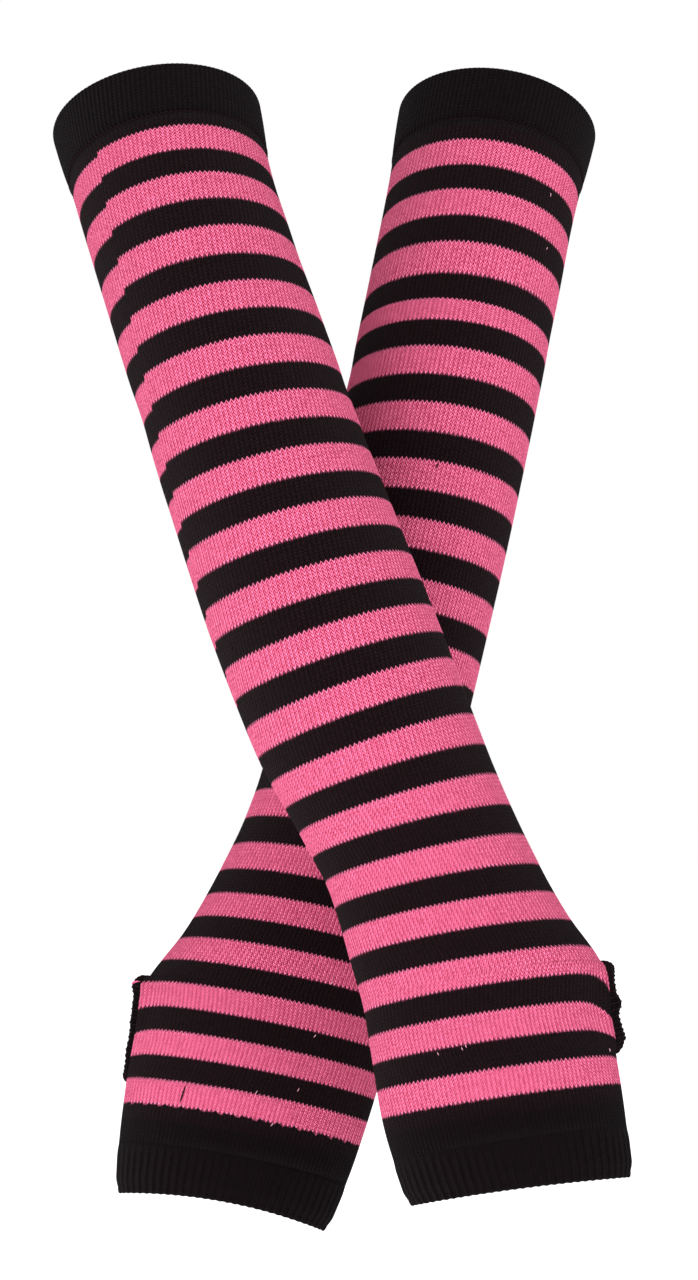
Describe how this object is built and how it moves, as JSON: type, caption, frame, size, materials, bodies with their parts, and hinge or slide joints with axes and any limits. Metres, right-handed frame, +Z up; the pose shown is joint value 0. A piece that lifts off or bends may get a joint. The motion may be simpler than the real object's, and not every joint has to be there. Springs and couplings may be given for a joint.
{
  "type": "pair of knitted arm warmers",
  "caption": "Long fingerless arm warmers in striped circular knit, filled out as worn and crossed in an X, with turned upper welts, ribbed hand welts and a thumb slit in each.",
  "frame": {"origin": "the middle of the crossing, between the two forearms, where the wearer's arms hold the pair", "axes": "+Z up along the crossed pair, towards the upper arms; -Y towards the viewer, the side that the backs of the hands face; +X to the viewer's right"},
  "size_m": [0.2081, 0.2176, 0.4282],
  "materials": {
    "striped_jersey": "matt fine jersey in bands of hot pink and black, with a short fuzz",
    "black_welt": "matt black double jersey with fine upright wales",
    "black_rib": "matt black one by one rib",
    "black_overlock": "matt black overlock stitching over a raw edge"
  },
  "bodies": {
    "root": {"front_upper_welt": "black_welt", "front_upper_sleeve": "striped_jersey", "front_lower_sleeve": "striped_jersey", "front_hand_welt": "black_rib", "front_thumb_edge": "black_overlock", "back_upper_welt": "black_welt", "back_upper_sleeve": "striped_jersey", "back_lower_sleeve": "striped_jersey", "back_hand_welt": "black_rib", "back_thumb_edge": "black_overlock"}
  },
  "joints": []
}
